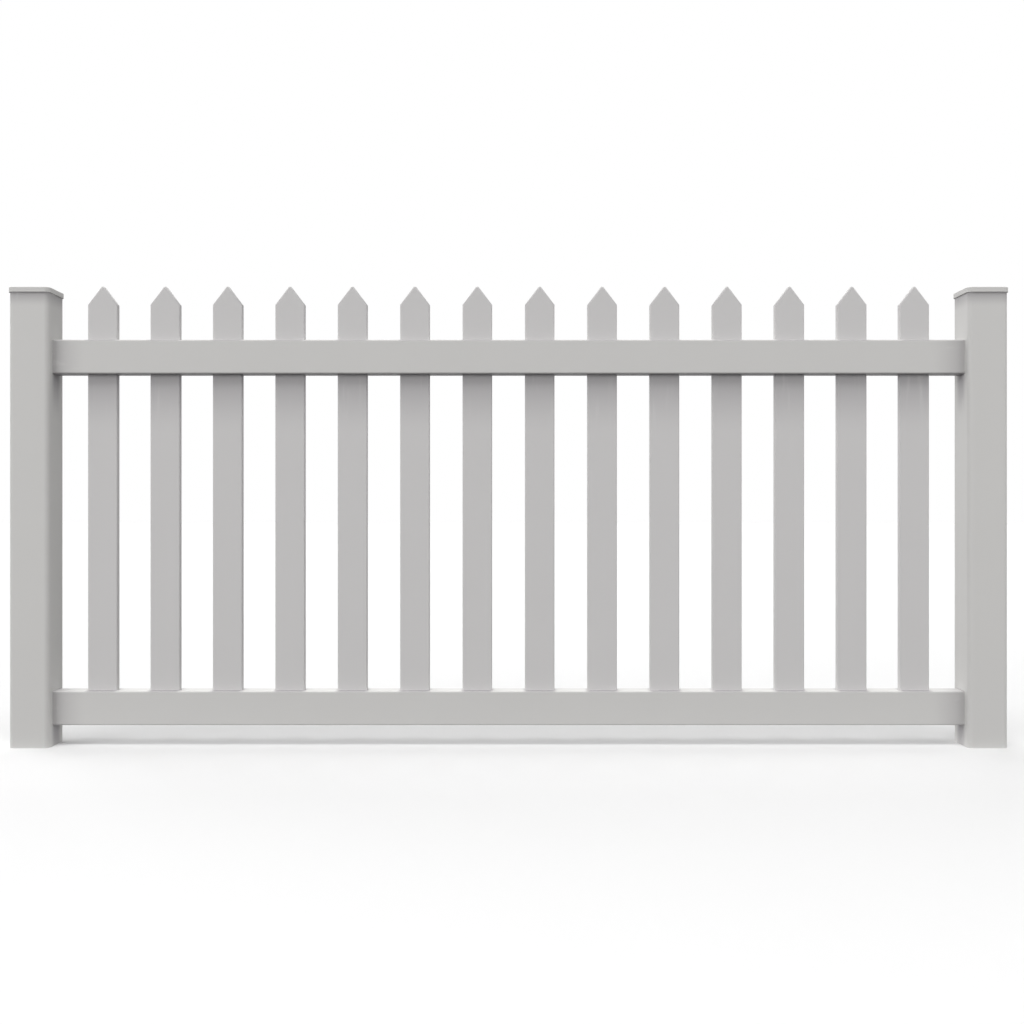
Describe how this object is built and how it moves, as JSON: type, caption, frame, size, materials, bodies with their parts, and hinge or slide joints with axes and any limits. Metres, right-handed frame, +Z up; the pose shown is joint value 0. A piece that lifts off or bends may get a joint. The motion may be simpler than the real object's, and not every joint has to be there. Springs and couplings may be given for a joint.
{
  "type": "picket fence panel",
  "caption": "White vinyl picket fence bay: square posts with flat caps, two box rails and a row of hollow pointed pickets let into the rails.",
  "frame": {"origin": "centre of the left post's foot, on the ground", "axes": "+X along the fence to the right post, front faces -Y, +Z up"},
  "size_m": [2.546, 0.1076, 1.1815],
  "materials": {
    "post_vinyl": "satin extruded PVC, white",
    "rail_vinyl": "satin extruded PVC, white",
    "picket_vinyl": "satin extruded PVC, white",
    "cap_plastic": "satin moulded PVC, white"
  },
  "bodies": {
    "root": {"post_left": "post_vinyl", "post_right": "post_vinyl", "bottom_rail": "rail_vinyl", "top_rail": "rail_vinyl", "picket_01": "picket_vinyl", "picket_02": "picket_vinyl", "picket_03": "picket_vinyl", "picket_04": "picket_vinyl", "picket_05": "picket_vinyl", "picket_06": "picket_vinyl", "picket_07": "picket_vinyl", "picket_08": "picket_vinyl", "picket_09": "picket_vinyl", "picket_10": "picket_vinyl", "picket_11": "picket_vinyl", "picket_12": "picket_vinyl", "picket_13": "picket_vinyl", "picket_14": "picket_vinyl", "cap_left": "cap_plastic", "cap_right": "cap_plastic"}
  },
  "joints": []
}
